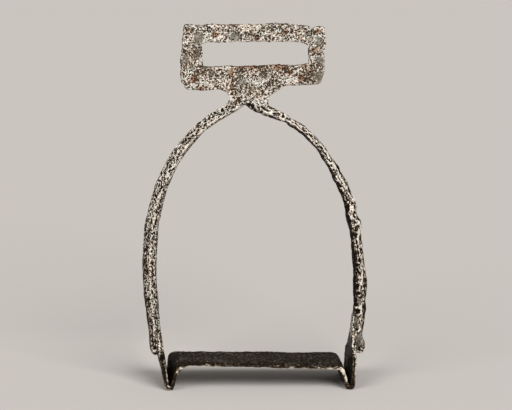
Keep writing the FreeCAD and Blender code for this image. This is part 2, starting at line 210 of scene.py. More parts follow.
    # Below the tang's top the bar keeps outside the tang's outer face
    parts = add(tree, "ShaderNodeSeparateXYZ", {0: place}).outputs
    out = add(tree, "ShaderNodeMath", {0: parts["X"], 1: given["Side"]}, operation="MULTIPLY")
    high = add(tree, "ShaderNodeMath", {0: parts["Z"], 1: given["Scarf Top"]}, operation="GREATER_THAN")
    limit = add(tree, "ShaderNodeMath", {0: given["Scarf Reach"], 1: high}, operation="SUBTRACT")
    out = add(tree, "ShaderNodeMath", {0: out, 1: limit}, operation="MAXIMUM")
    out = add(tree, "ShaderNodeMath", {0: out, 1: given["Side"]}, operation="MULTIPLY")
    place = add(tree, "ShaderNodeCombineXYZ", {"X": out, "Y": parts["Y"], "Z": parts["Z"]})
    placed = add(tree, "GeometryNodeSetPosition", {"Geometry": tube, "Position": place})
    smooth = add(tree, "GeometryNodeSetShadeSmooth", {"Geometry": placed})
    finish_tree(tree, smooth, given["Iron"])
    return tree


def forged_skin_tree():
    """Hammer marks, scale lumps and rust pits on a surface, which it moves by real depths.

    It keeps how deep in a pit each point lies, as pit, and how far it stands out of the surface, as crest.
    """
    tree, given = new_tree("forged_skin", {
        "Hammer Width": "Float", "Hammer Depth": "Float", "Lump Width": "Float", "Lump Depth": "Float",
        "Pit Spacing": "Float", "Pit Depth": "Float", "Pit Share": "Float", "Rounding": "Int",
        "Seed": "Float", "Draw": "Float", "Iron": "Material",
    })
    marked = {label: add(tree, "GeometryNodeInputNamedAttribute", {"Name": label}).outputs[0]
              for label in ("weld", "lift", "calm")}

    # Worn edges are round, but not along a weld, where the neighbour's surface runs on
    spot = add(tree, "GeometryNodeInputPosition")
    soft = add(tree, "GeometryNodeBlurAttribute", {
        "Value": spot, "Iterations": given["Rounding"],
    }, data_type="FLOAT_VECTOR")
    soft = add(tree, "ShaderNodeMix", {"Factor": marked["weld"], "A": soft, "B": spot}, data_type="VECTOR")
    rounded = add(tree, "GeometryNodeSetPosition", {"Geometry": given["Geometry"], "Position": soft})

    # Hammer marks and lumps, drawn out along the bar and set off by the seed
    place = add(tree, "GeometryNodeInputNamedAttribute", {
        "Name": "laid",
    }, data_type="FLOAT_VECTOR").outputs[0]
    place = add(tree, "ShaderNodeVectorMath", {
        0: place, 1: add(tree, "ShaderNodeCombineXYZ", {"X": 1.0, "Y": 1.0, "Z": given["Draw"]}),
    }, operation="MULTIPLY")
    place = add(tree, "ShaderNodeVectorMath", {
        0: place, 1: add(tree, "ShaderNodeCombineXYZ", {
            "X": given["Seed"], "Y": given["Seed"], "Z": given["Seed"],
        }),
    }, operation="ADD")
    heights = []
    for width, depth, detail in (("Hammer Width", "Hammer Depth", 0.0), ("Lump Width", "Lump Depth", 2.0)):
        scale = add(tree, "ShaderNodeMath", {0: 1.0, 1: given[width]}, operation="DIVIDE")
        noise = add(tree, "ShaderNodeTexNoise", {"Vector": place, "Scale": scale, "Detail": detail})
        swing = add(tree, "ShaderNodeMapRange", {
            "Value": noise, "From Min": 0.25, "From Max": 0.75, "To Min": -1.0,
        })
        heights.append(add(tree, "ShaderNodeMath", {0: swing, 1: given[depth]}, operation="MULTIPLY"))

    # Rust pits: one in most cells of a crumpled pattern, each of its own size
    scale = add(tree, "ShaderNodeMath", {0: 1.0, 1: given["Pit Spacing"]}, operation="DIVIDE")
    crumple = add(tree, "ShaderNodeTexNoise", {"Vector": place, "Scale": scale, "Detail": 1.0}).outputs[1]
    crumple = add(tree, "ShaderNodeVectorMath", {0: crumple, 1: (0.5, 0.5, 0.5)}, operation="SUBTRACT")
    crumple = add(tree, "ShaderNodeVectorMath", {
        0: crumple, "Scale": given["Pit Spacing"],
    }, operation="SCALE")
    crumpled = add(tree, "ShaderNodeVectorMath", {0: place, 1: crumple}, operation="ADD")
    cells = add(tree, "ShaderNodeTexVoronoi", {"Vector": crumpled, "Scale": scale}).outputs
    chance = add(tree, "ShaderNodeSeparateXYZ", {0: cells["Color"]})
    size = add(tree, "ShaderNodeMath", {0: given["Pit Share"], 1: chance}, operation="SUBTRACT")
    size = add(tree, "ShaderNodeMapRange", {"Value": size, "From Min": -0.1, "From Max": 0.6, "To Max": 0.62})
    inside = add(tree, "ShaderNodeMath", {0: size, 1: cells["Distance"]}, operation="SUBTRACT")
    pit = add(tree, "ShaderNodeMapRange", {"Value": inside, "From Min": -0.12, "From Max": 0.42})
    pit_depth = add(tree, "ShaderNodeMath", {0: pit, 1: given["Pit Depth"]}, operation="MULTIPLY")

    # A calm place is smoother; single lumps and dents that were marked on the mesh, in metres, come on top
    lift = add(tree, "ShaderNodeMath", {0: heights[0], 1: heights[1]}, operation="ADD")
    rough = add(tree, "ShaderNodeMath", {0: lift, 1: pit_depth}, operation="SUBTRACT")
    keep = add(tree, "ShaderNodeMapRange", {"Value": marked["calm"], "To Min": 1.0, "To Max": 0.35})
    rough = add(tree, "ShaderNodeMath", {0: rough, 1: keep}, operation="MULTIPLY")
    total = add(tree, "ShaderNodeMath", {0: rough, 1: marked["lift"]}, operation="ADD")
    way = add(tree, "GeometryNodeInputNormal")
    straight = add(tree, "ShaderNodeVectorMath", {0: way, 1: (0, 1, 0)}, operation="MULTIPLY")
    way = add(tree, "ShaderNodeMix", {"Factor": marked["weld"], "A": way, "B": straight}, data_type="VECTOR")
    move = add(tree, "ShaderNodeVectorMath", {0: way, "Scale": total}, operation="SCALE")
    stored = add(tree, "GeometryNodeStoreNamedAttribute", {
        "Geometry": rounded, "Name": "pit", "Value": pit,
    })
    moved = add(tree, "GeometryNodeSetPosition", {"Geometry": stored, "Offset": move})

    # Wear: how far a point stands out of the surface close round it, over what is usual farther round it
    close_rounds = 10
    far_rounds = 40
    crest_unit = 0.1 * mm
    spot = add(tree, "GeometryNodeInputPosition")
    around = add(tree, "GeometryNodeBlurAttribute", {
        "Value": spot, "Iterations": close_rounds,
    }, data_type="FLOAT_VECTOR")
    out = add(tree, "ShaderNodeVectorMath", {0: spot, 1: around}, operation="SUBTRACT")
    out = add(tree, "ShaderNodeVectorMath", {
        0: out, 1: add(tree, "GeometryNodeInputNormal"),
    }, operation="DOT_PRODUCT")
    out = add(tree, "ShaderNodeMath", {0: out.outputs["Value"], 1: crest_unit}, operation="DIVIDE")
    usual = add(tree, "GeometryNodeBlurAttribute", {
        "Value": out, "Iterations": far_rounds,
    }, data_type="FLOAT")
    crest = add(tree, "ShaderNodeMath", {0: out, 1: usual}, operation="SUBTRACT")
    free = add(tree, "ShaderNodeMath", {0: 1.0, 1: marked["weld"]}, operation="SUBTRACT")
    crest = add(tree, "ShaderNodeMath", {0: crest, 1: free}, operation="MULTIPLY")
    worn = add(tree, "GeometryNodeStoreNamedAttribute", {"Geometry": moved, "Name": "crest", "Value": crest})
    finish_tree(tree, worn, given["Iron"])
    return tree


def keep_result(thing):
    """Turn what an object's modifiers show into its own mesh."""
    seen = thing.evaluated_get(bpy.context.evaluated_depsgraph_get())
    mesh = bpy.data.meshes.new_from_object(seen)
    thing.modifiers.clear()
    thing.data = mesh


def run_tree(tree, thing, values):
    """Run a tree on an object and keep the result as the object's plain mesh."""
    modifier = thing.modifiers.new(tree.name, "NODES")
    modifier.node_group = tree
    for item in tree.interface.items_tree:
        if item.in_out == "INPUT" and item.name in values:
            modifier[item.identifier] = values[item.name]
    keep_result(thing)


def new_piece(name, mesh):
    """Object in the scene for a mesh."""
    piece = bpy.data.objects.new(name, mesh)
    bpy.context.scene.collection.objects.link(piece)
    return piece


def face_outwards(mesh):
    """Join doubled corners and point all faces outwards."""
    doubles_gap = 0.01 * mm
    shell = bmesh.new()
    shell.from_mesh(mesh)
    bmesh.ops.remove_doubles(shell, verts=shell.verts, dist=doubles_gap)
    bmesh.ops.recalc_face_normals(shell, faces=shell.faces)
    shell.to_mesh(mesh)
    shell.free()


def points_of(mesh):
    """Places of a mesh's points and the ways they face, one row each."""
    places = np.zeros(len(mesh.vertices) * 3)
    mesh.vertices.foreach_get("co", places)
    ways = np.zeros(len(mesh.vertices) * 3)
    mesh.vertices.foreach_get("normal", ways)
    return places.reshape(-1, 3), ways.reshape(-1, 3)


def faded(distance):
    """Strength at a distance, in reaches: full up to half a reach, none past one and a half."""
    return np.clip(1.5 - distance, 0, 1)


def spread(mesh, spots, where=None):
    """Amount that spots give each point of the front, or of the points that where holds.

    A spot is x, z, reach across and reach up, in millimetres, and its amount.
    """
    places = points_of(mesh)[0]
    where = places[:, 1] < mm if where is None else where
    amount = np.zeros(len(places))
    for x, z, across, up, strength in spots:
        off = (places[:, 0] / mm - x) ** 2 / across ** 2 + (places[:, 2] / mm - z) ** 2 / up ** 2
        weight = faded(np.sqrt(off)) * where
        amount += strength * weight ** 2 * (3 - 2 * weight)
    return amount


def beside(mesh, line, reach):
    """Nearness of each point to a line of x, z places, from 0 to 1; places and reach are in millimetres."""
    places = points_of(mesh)[0][:, ::2] / mm
    near = np.full(len(places), np.inf)
    for start, end in zip(np.array(line), np.array(line[1:])):
        run = end - start
        share = np.clip((places - start) @ run / (run @ run), 0, 1)
        near = np.minimum(near, np.linalg.norm(places - start - share[:, None] * run, axis=1))
    return faded(near / reach)


def deep_pits(spots):
    """Spots that sink the middle of each place and raise a rim round it, for the depth given with each."""
    floor_share = -1.4
    rim_share = 0.6
    rim_reach_share = 1.5
    floors = [(x, z, across, up, floor_share * depth) for x, z, across, up, depth in spots]
    rims = [(x, z, rim_reach_share * across, rim_reach_share * up, rim_share * depth)
            for x, z, across, up, depth in spots]
    return floors + rims


def same_amount(spots, amount):
    """The same places, each with the given amount instead of its own."""
    return [spot[:4] + (amount,) for spot in spots]


def turned_sideways(mesh):
    """How much each point faces sideways rather than to the front or back, from 0 to 1, for painted shade."""
    to_the_front = np.abs(points_of(mesh)[1][:, 1])
    return np.clip(1.6 - 2.2 * to_the_front, 0, 1)


def write(mesh, name, amounts):
    """Store one number for each point under a name."""
    attribute = mesh.attributes.get(name) or mesh.attributes.new(name, "FLOAT", "POINT")
    attribute.data.foreach_set("value", amounts)


def linear(colour):
    """sRGB hex colour as linear red, green, blue and alpha."""
    parts = [int(colour[start:start + 2], 16) / 255 for start in (1, 3, 5)]
    return [part / 12.92 if part <= 0.04045 else ((part + 0.055) / 1.055) ** 2.4 for part in parts] + [1.0]


def corroded_iron(name, colours, level, contrast, grain_width, stretch, net, blotches, grains, patches,
                  rustiness=0.0):
    """Wrought iron that rust has pitted: pale worn crests in a net round dark pits, over brown scale.

    The eye sees a dense speckle of cream and near black, glints on the crests, and dull rust where it is
    damp. The colours run from the pits to the crests; their pale end is partly pale worn scale and partly
    painted glint. A stretch below 1 draws the patterns out that way.
    The grain of real rust is a few tenths of a millimetre. It is drawn at 0.6 to 0.8 mm, so that it shows.
    """
    net_width = 2.2 * grain_width
    patch_width = 7.0 * mm
    brown_width = 5.0 * mm
    bump_depth = 0.8 * mm
    iron = bpy.data.materials.new(name)
    iron.use_nodes = True
    tree = iron.node_tree
    tree.nodes.clear()
    place = add(tree, "ShaderNodeAttribute", attribute_name="laid").outputs["Vector"]
    place = add(tree, "ShaderNodeVectorMath", {0: place, 1: stretch}, operation="MULTIPLY")
    marks = {label: add(tree, "ShaderNodeAttribute", attribute_name=label).outputs["Fac"]
             for label in ("pit", "crest", "tone", "rust", "calm")}
    patch = add(tree, "ShaderNodeTexNoise", {"Vector": place, "Scale": 1 / patch_width, "Detail": 4.0})
    grain = add(tree, "ShaderNodeTexNoise", {
        "Vector": place, "Scale": 1 / grain_width, "Detail": 2.0, "Roughness": 0.55,
    })
    noise = add(tree, "ShaderNodeTexNoise", {
        "Vector": place, "Scale": 1 / net_width, "Detail": 2.0, "Roughness": 0.5,
    })
    blotch = add(tree, "ShaderNodeSeparateXYZ", {0: noise.outputs[1]}).outputs[1]
    line = add(tree, "ShaderNodeMath", {0: noise, 1: 0.5}, operation="SUBTRACT")
    line = add(tree, "ShaderNodeMath", {0: line}, operation="ABSOLUTE")
    line = add(tree, "ShaderNodeMapRange", {"Value": line, "From Max": 0.10, "To Min": 1.0, "To Max": 0.0})
    crest = add(tree, "ShaderNodeMapRange", {
        "Value": marks["crest"], "From Min": -1.0, "From Max": 1.3, "To Min": -1.0, "To Max": 1.3,
    })

    # Height of the wear, from 0 in the pits to 1 on the crests: what swings it, by its middle and its weight
    parts = (
        (line, 0.3, net), (blotch, 0.5, blotches), (grain, 0.5, grains), (patch, 0.5, patches),
        (crest, 0.0, 0.4), (marks["pit"], 0.2, -0.25),
    )
    swing = 0.0
    for source, middle, weight in parts:
        part = add(tree, "ShaderNodeMath", {0: source, 1: middle}, operation="SUBTRACT")
        swing = add(tree, "ShaderNodeMath", {0: part, 1: weight, 2: swing}, operation="MULTIPLY_ADD")
    relief = add(tree, "ShaderNodeSeparateXYZ", {0: patch.outputs[1]}).outputs[1]
    relief = add(tree, "ShaderNodeMapRange", {
        "Value": relief, "From Min": 0.35, "From Max": 0.65,
        "To Min": 0.65 * contrast, "To Max": 1.2 * contrast,
    })
    strength = add(tree, "ShaderNodeMath", {0: marks["tone"], 1: 0.0}, operation="MINIMUM")
    strength = add(tree, "ShaderNodeMath", {0: strength, 1: relief}, operation="ADD")
    wear = add(tree, "ShaderNodeMath", {0: marks["tone"], 1: level}, operation="ADD")
    wear = add(tree, "ShaderNodeMath", {0: swing, 1: strength, 2: wear}, operation="MULTIPLY_ADD")

    # The smooth skin of a calm place breaks off in crumbs at its rim
    whole = add(tree, "ShaderNodeMath", {0: grain, 1: patch}, operation="ADD")
    whole = add(tree, "ShaderNodeMath", {0: whole, 1: 1.0}, operation="SUBTRACT")
    whole = add(tree, "ShaderNodeMath", {0: whole, 1: 2.6, 2: marks["calm"]}, operation="MULTIPLY_ADD")
    whole = add(tree, "ShaderNodeMapRange", {
        "Value": whole, "From Min": 0.45, "From Max": 0.85, "To Max": 0.9,
    })
    settled = add(tree, "ShaderNodeMath", {0: swing, 1: 0.3, 2: 0.42}, operation="MULTIPLY_ADD")
    wear = add(tree, "ShaderNodeMix", {"Factor": whole, "A": wear, "B": settled})
    ramp = add(tree, "ShaderNodeValToRGB", {0: wear})
    while len(ramp.color_ramp.elements) < len(colours):
        ramp.color_ramp.elements.new(0.5)
    for index, (element, colour) in enumerate(zip(ramp.color_ramp.elements, colours)):
        element.position = index / (len(colours) - 1)
        element.color = linear(colour)
    brown = add(tree, "ShaderNodeTexNoise", {"Vector": place, "Scale": 1 / brown_width, "Detail": 3.0})
    brown = add(tree, "ShaderNodeMapRange", {"Value": brown, "From Min": 0.35, "From Max": 0.65})
    tint = add(tree, "ShaderNodeMix", {
        "Factor": brown, "A": linear("#F6F6EE"), "B": linear("#FCEFE1"),
    }, data_type="RGBA")
    tinted = add(tree, "ShaderNodeMix", {
        "Factor": 1.0, "A": ramp, "B": tint,
    }, data_type="RGBA", blend_type="MULTIPLY")

    # Grey green skin where the scale has stayed whole, and rust that breaks through in crumbs
    grey = add(tree, "ShaderNodeMix", {"Factor": 0.75, "A": tinted, "B": linear("#78776B")}, data_type="RGBA")
    skin = add(tree, "ShaderNodeMix", {"Factor": whole, "A": tinted, "B": grey}, data_type="RGBA")
    damp = add(tree, "ShaderNodeMath", {0: brown, 1: rustiness, 2: marks["rust"]}, operation="MULTIPLY_ADD")
    crumbs = add(tree, "ShaderNodeMath", {0: grain, 1: 0.5}, operation="SUBTRACT")
    crumbs = add(tree, "ShaderNodeMath", {0: crumbs, 1: 2.4, 2: damp}, operation="MULTIPLY_ADD")
    crumbs = add(tree, "ShaderNodeMapRange", {
        "Value": crumbs, "From Min": 0.3, "From Max": 0.7, "To Max": 0.88,
    })
    rusty = add(tree, "ShaderNodeMix", {
        "Factor": wear, "A": linear("#40291B"), "B": linear("#AE8664"),
    }, data_type="RGBA")
    colour = add(tree, "ShaderNodeMix", {"Factor": crumbs, "A": skin, "B": rusty}, data_type="RGBA")

    # Crests are smoother than pits, and coated with pale scale rather than bare metal; being less metallic,
    # their pale colour, which is partly painted glint, shows at full brightness
    roughness = add(tree, "ShaderNodeMapRange", {"Value": wear, "To Min": 0.6, "To Max": 0.3})
    metallic = add(tree, "ShaderNodeMapRange", {"Value": wear, "To Min": 0.7, "To Max": 0.15})
    height = add(tree, "ShaderNodeMath", {0: line, 1: 0.3, 2: grain}, operation="MULTIPLY_ADD")
    height = add(tree, "ShaderNodeMath", {0: height, 1: blotch}, operation="ADD")
    bump = add(tree, "ShaderNodeBump", {"Strength": 1.0, "Distance": bump_depth, "Height": height})
    shader = add(tree, "ShaderNodeBsdfPrincipled", {
        "Base Color": colour, "Roughness": roughness, "Metallic": metallic, "Normal": bump,
        "Specular IOR Level": 0.3,
    })
    add(tree, "ShaderNodeOutputMaterial", {"Surface": shader})
    return iron


# Hand-forged iron, corroded all over: a bright net with wide swings from near black to cream
bar_iron = corroded_iron(
    "corroded_wrought_iron_bars", ("#2C2116", "#584B3E", "#8A7D70", "#C6BAAE", "#FFFDF9"),
    level=-0.05, contrast=2.5, grain_width=0.62 * mm, stretch=(1.0, 1.0, 0.6),
    net=1.6, blotches=0.6, grains=1.9, patches=0.4)

# The same iron where rust went deeper: darker pits, larger and apart, with grey brown between them
pitted_iron = corroded_iron(
    "deeply_pitted_wrought_iron_bar", ("#1C120A", "#4C3F34", "#83766A", "#C6BAAE", "#FFFDF9"),
    level=0.19, contrast=1.65, grain_width=0.72 * mm, stretch=(1.0, 1.0, 0.6),
    net=1.3, blotches=0.7, grains=2.0, patches=0.7)
ridged_bar = ridged_bar_tree()
forged_skin = forged_skin_tree()
bar_skin = {
    "Hammer Width": 8.0 * mm, "Hammer Depth": 0.42 * mm, "Lump Width": 2.8 * mm, "Lump Depth": 0.34 * mm,
    "Pit Spacing": 1.9 * mm, "Pit Depth": 0.30 * mm, "Pit Share": 0.75, "Rounding": 0, "Seed": 0.31,
    "Draw": 0.6, "Iron": bar_iron,
}

# Bright lines along the ridges on the front: partly metal that hands and leather wore bright, partly painted
# highlight where the ridges catch the lamps. Each holds: x, z places in millimetres, how far the line reaches
# to each side, and its strength.
left_bright_lines = (
    (((-9.4, 172.0), (-20.1, 166.9), (-27.1, 163.1), (-35.4, 155.6), (-43.3, 146.9), (-48.6, 136.4),
      (-52.0, 130.0)), 0.8, 0.8),
    (((-52.0, 130.0), (-55.7, 124.3), (-59.1, 113.9), (-62.1, 102.4), (-63.6, 86.2)), 0.7, 0.4),
    (((-63.6, 86.2), (-63.8, 75.3), (-64.0, 62.8), (-63.1, 51.8), (-62.3, 41.1), (-61.3, 30.9)), 0.7, 0.35),
    (((-18.9, 172.5), (-23.4, 170.2), (-33.3, 165.2), (-38.4, 159.8), (-43.7, 154.6), (-48.3, 149.3),
      (-52.0, 142.4), (-55.1, 135.4), (-58.2, 127.6)), 0.7, 0.4),
    (((-62.2, 22.8), (-61.0, 22.3), (-59.2, 22.9)), 1.0, 1.4),
    (((-61.0, 26.6), (-58.8, 25.9)), 0.8, 1.1),
)
right_foot_line = (
    ((59.1, 46.4), (60.0, 47.7), (63.4, 47.6), (64.4, 44.1), (63.2, 40.9), (62.0, 37.8), (63.3, 34.6),
     (60.8, 30.8), (58.7, 27.6), (58.5, 23.8), (59.7, 20.6), (59.5, 16.0), (59.0, 10.0)), 0.8, 0.75)
right_bright_lines = (
    (((-1.1, 171.6), (4.0, 170.5), (10.4, 166.6), (17.4, 164.3), (21.5, 162.6), (25.2, 159.7),
      (32.1, 153.0), (34.9, 149.4)), 0.7, 0.55),
    (((2.1, 173.8), (11.5, 169.7), (20.1, 165.4), (28.0, 159.3), (33.1, 155.1), (40.4, 146.9),
      (44.9, 138.1), (48.8, 132.8), (51.0, 127.4)), 0.8, 0.6),
    (((51.0, 127.4), (55.0, 119.9), (58.7, 113.7), (60.3, 106.9)), 0.8, 0.75),
    (((55.8, 106.9), (60.7, 101.3), (62.2, 96.9), (61.4, 90.1), (62.1, 82.5), (64.6, 76.2), (65.6, 71.2),
      (64.1, 64.9), (62.9, 60.5), (62.4, 55.5)), 0.8, 0.75),
    (((58.6, 17.6), (60.2, 19.9), (62.2, 19.9), (64.4, 18.4)), 0.7, 1.1),
    right_foot_line,
)

# Deep pits, lumps and calm places. Each holds: x, z, reach across and reach up in millimetres, and amount.
left_pits = (
    (-61.9, 24.4, 0.9, 0.7, 0.4 * mm), (-60.4, 20.9, 1.0, 0.5, 0.3 * mm), (-60.2, 104.0, 0.7, 1.0, 0.3 * mm),
    (-47.0, 143.0, 1.0, 0.8, 0.4 * mm),
)
right_pits = (
    (62.1, 45.1, 1.4, 1.6, 0.7 * mm), (63.4, 42.0, 0.7, 1.0, 0.4 * mm), (59.4, 31.6, 1.0, 1.2, 0.6 * mm),
    (61.4, 33.8, 1.0, 0.8, 0.5 * mm), (59.5, 26.2, 1.0, 1.0, 0.6 * mm), (64.3, 39.3, 0.8, 0.8, 0.5 * mm),
    (55.2, 110.3, 1.0, 2.2, 0.5 * mm), (59.2, 66.3, 0.8, 1.2, 0.5 * mm), (61.2, 71.0, 0.8, 1.4, 0.5 * mm),
    (63.2, 77.0, 0.7, 1.4, 0.4 * mm), (60.3, 52.4, 1.0, 1.4, 0.5 * mm), (16.0, 166.4, 1.0, 0.7, 0.4 * mm),
)
right_lumps = (
    (58.8, 111.6, 2.2, 4.0, 1.1 * mm), (61.7, 98.8, 2.4, 3.8, 1.0 * mm), (65.0, 23.6, 2.2, 3.2, 0.9 * mm),
    (64.0, 19.2, 1.6, 1.0, 0.5 * mm),
)
right_calm = (
    (62.7, 35.6, 1.4, 1.8, 0.9), (62.9, 28.4, 1.5, 1.8, 0.8), (62.3, 51.9, 1.8, 2.0, 0.9),
    (60.6, 110.4, 1.3, 3.0, 0.9), (63.3, 97.6, 1.4, 3.2, 0.9), (61.5, 42.0, 4.0, 5.0, 0.6),
    (61.0, 33.0, 4.0, 6.0, 0.6), (61.5, 23.0, 4.4, 5.0, 0.6),
)

# What the marks do: a bright line is also a low ridge, and never calm; faces turned sideways or to the left
# get painted shade, and the bars are darker towards the foot
ridge_height = 0.25 * mm
ridge_width_share = 0.8
ridge_paleness = 0.9
ridge_unrest = 1.5
pit_shade = 0.6
side_painted_shade = 0.6
foot_heights = (30.0 * mm, 60.0 * mm, 85.0 * mm, 105.0 * mm)
foot_shade_shares = (1.0, 0.8, 0.4, 0.0)
bars = {
    "left_side_bar": {
        "shares": left_bar_shares, "side": -1.0, "scarf_reach": left_scarf_reach,
        "paleness": 0.02, "left_facing_painted_shade": 0.2, "foot_shade": 0.4,
        "lumps": (), "pits": left_pits, "calm": (), "bright_lines": left_bright_lines,
        "skin": {"Hammer Depth": 0.28 * mm, "Lump Depth": 0.22 * mm},
    },
    "right_side_bar": {
        "shares": right_bar_shares, "side": 1.0, "scarf_reach": right_scarf_reach,
        "paleness": -0.06, "left_facing_painted_shade": 0.36, "foot_shade": 0.16,
        "lumps": right_lumps, "pits": right_pits, "calm": right_calm, "bright_lines": right_bright_lines,
        "skin": {
            "Pit Spacing": 2.6 * mm, "Pit Depth": 0.45 * mm, "Lump Depth": 0.48 * mm, "Iron": pitted_iron,
        },
    },
}
for node, own in bars.items():
    shares = own["shares"]
    path = bpy.data.meshes.new(node + "_path")
    stations = [(row[0] * arch_half_width, 0, row[1] * arch_height) for row in shares]
    path.from_pydata(stations, [(index, index + 1) for index in range(len(stations) - 1)], [])
    columns = {
        "half_width": [row[2] * bar_width / 2 for row in shares],
        "half_depth": [row[3] * bar_depth / 2 for row in shares],
        "ridge": [row[4] for row in shares],
        "square": [row[5] for row in shares],
    }
    for label, column in columns.items():
        path.attributes.new(label, "FLOAT", "POINT").data.foreach_set("value", column)
    bar = new_piece(node + "_forged", path)
    run_tree(ridged_bar, bar, {
        "Rings": bar_rings, "Corners": bar_corners, "Side": own["side"], "Scarf Reach": own["scarf_reach"],
        "Scarf Top": tang_top, "Iron": bar_iron,
    })
    face_outwards(bar.data)
    places, ways = points_of(bar.data)
    ridges = sum(strength * beside(bar.data, line, ridge_width_share * reach)
                 for line, reach, strength in own["bright_lines"])
    ridges *= places[:, 1] < 0
    lift = spread(bar.data, list(own["lumps"]) + deep_pits(own["pits"])) + ridge_height * ridges
    write(bar.data, "lift", lift)
    facing_left = np.clip(-1.6 * ways[:, 0], 0, 1)
    # Painted shade on faces turned sideways, and on faces turned to the left, away from the key lamp
    tone = own["paleness"] - side_painted_shade * turned_sideways(bar.data) - own["left_facing_painted_shade"] * facing_left
    tone -= own["foot_shade"] * np.interp(places[:, 2], foot_heights, foot_shade_shares)
    tone += spread(bar.data, same_amount(own["pits"], -pit_shade))
    # Bright lines: paler for wear and for painted highlight
    tone += ridge_paleness * ridges
    write(bar.data, "tone", tone)
    dug = spread(bar.data, same_amount(own["pits"], 1.0))
    write(bar.data, "calm", spread(bar.data, own["calm"]) - ridge_unrest * ridges - dug)
    facing_tang = np.clip(-2.0 * own["side"] * ways[:, 0], 0, 1)
    write(bar.data, "weld", (places[:, 2] < tang_top) * facing_tang)
    run_tree(forged_skin, bar, {**bar_skin, **own["skin"]})
    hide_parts(node)
    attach(bar, "root")

# Tread strip. One flat strip of wrought iron, bent into a tang, a tight V fold, the tread, a V fold and a
# tang, and welded to the bars by the tangs. Boots have kept its top smooth under a brown skin; its worn edges
# and the folds' ribs show bright metal, with a painted highlight on them.
strip_voxel = 0.38 * mm
tread_ends = (-53.7 * mm, 55.2 * mm)
front_reaches = (12.4 * mm, 18.0 * mm)
back_reaches = (18.0 * mm, 14.0 * mm)
front_heights = (17.4 * mm, 13.6 * mm)
back_heights = (14.2 * mm, 12.8 * mm)
half_strip = 1.2 * mm
tang_foot = 20.0 * mm
weld_heights = (tang_foot, 24.0 * mm)


def lay_out(mesh):
    """Store each point's own place, which the patterns of a piece that isn't a bar follow."""
    laid = mesh.attributes.new("laid", "FLOAT_VECTOR", "POINT")
    laid.data.foreach_set("vector", points_of(mesh)[0].ravel())


def forged_copy(node, voxel, iron):
    """Closed skin of even small faces over a CAD node, ready for hammer marks."""
    piece = new_piece(node + "_forged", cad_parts[node].data.copy())
    piece.data.materials.clear()
    piece.data.materials.append(iron)
    face_outwards(piece.data)
    remesh = piece.modifiers.new("skin", "REMESH")
    remesh.mode = "VOXEL"
    remesh.voxel_size = voxel
    remesh.use_smooth_shade = True
    keep_result(piece)
    lay_out(piece.data)
    return piece


# Iron browned by boots: dark, smooth and low in contrast, with a fine grain drawn out along the tread
tread_iron = corroded_iron(
    "browned_wrought_iron_tread", ("#0D0803", "#291E12", "#4A3D2D", "#8A7F6E", "#FAF4EA"),
    level=0.12, contrast=0.9, grain_width=0.58 * mm, stretch=(0.5, 1.0, 1.0),
    net=0.4, blotches=0.8, grains=1.8, patches=0.6)
strip = forged_copy("tread_strip", strip_voxel, tread_iron)
places, ways = points_of(strip.data)

# Boots have worn the strip thin along the tread's front edge
edge_width = 3.5 * mm
edge_wear = 1.1 * mm
wear_stretch = (-50.0 * mm, -42.0 * mm, 46.0 * mm, 50.0 * mm)
front_reach = np.interp(places[:, 0], tread_ends, front_reaches)
back_reach = np.interp(places[:, 0], tread_ends, back_reaches)
across = (places[:, 1] + front_reach) / (front_reach + back_reach)
middle = (1 - across) * np.interp(places[:, 0], tread_ends, front_heights) \
    + across * np.interp(places[:, 0], tread_ends, back_heights)
upper = np.clip((places[:, 2] - middle) / half_strip, -1, 1) / 2 + 0.5
near_edge = 1 - np.clip((places[:, 1] + front_reach) / edge_width, 0, 1)
flat = np.interp(places[:, 0], wear_stretch, (0, 1, 1, 0))
flat *= np.abs(places[:, 2] - middle) < 2 * half_strip
places[:, 2] -= edge_wear * upper * near_edge ** 2 * flat
strip.data.vertices.foreach_set("co", places.ravel())

# Bright places on the front edges of the tread and the folds, partly worn metal and partly painted highlight:
# spots, and lines of x, z places
worn_and_highlit_spots = (
    (-48.7, 12.9, 1.4, 1.2, 0.5), (-46.6, 14.6, 1.2, 1.0, 0.4), (-40.0, 15.4, 3.0, 0.7, 0.2),
    (-32.4, 15.4, 1.8, 0.9, 0.5), (-29.8, 16.2, 2.0, 0.7, 0.4), (-23.8, 15.2, 2.6, 1.0, 0.45),
    (-17.4, 14.4, 4.0, 0.8, 0.45), (-7.8, 14.2, 3.0, 0.8, 0.4), (-3.8, 13.8, 2.0, 1.0, 0.5),
    (5.0, 13.8, 3.4, 0.8, 0.35), (20.4, 14.2, 2.0, 1.2, 0.5), (28.5, 13.8, 2.6, 1.0, 0.4),
    (37.8, 13.6, 2.2, 1.0, 0.4), (44.0, 13.6, 4.0, 1.2, 0.45), (49.2, 12.6, 1.6, 1.2, 0.5),
    (-53.7, 1.5, 1.6, 2.2, 0.4), (51.4, 12.6, 1.6, 3.2, 0.6), (53.4, 7.0, 1.4, 3.6, 0.5),
    (61.0, 12.0, 1.2, 2.2, 0.5), (60.3, 7.5, 1.2, 3.0, 0.3), (60.8, 18.0, 0.8, 4.0, 0.35),
)
front_line = (
    (-49.5, 11.0), (-47.5, 13.6), (-44.5, 15.0), (-38.6, 15.6), (-24.6, 15.0), (0.4, 13.7), (20.4, 13.8),
    (36.4, 13.2), (50.4, 12.6), (52.6, 9.0), (54.0, 5.0),
)
left_fold_line = ((-57.0, 19.0), (-55.4, 14.8), (-54.6, 10.7), (-54.2, 5.0))
edge_line_reach = 0.5
wear_and_highlight_paleness = 1.6
front_line_paleness = 0.5
left_fold_paleness = 0.7
# Painted highlight: the bright places show on front faces, the more so where they turn right, towards the key
# lamp
front_rim_toward_lamp = (ways[:, 1] < -0.2) * np.clip(0.7 + 1.5 * ways[:, 0], 0, 1)
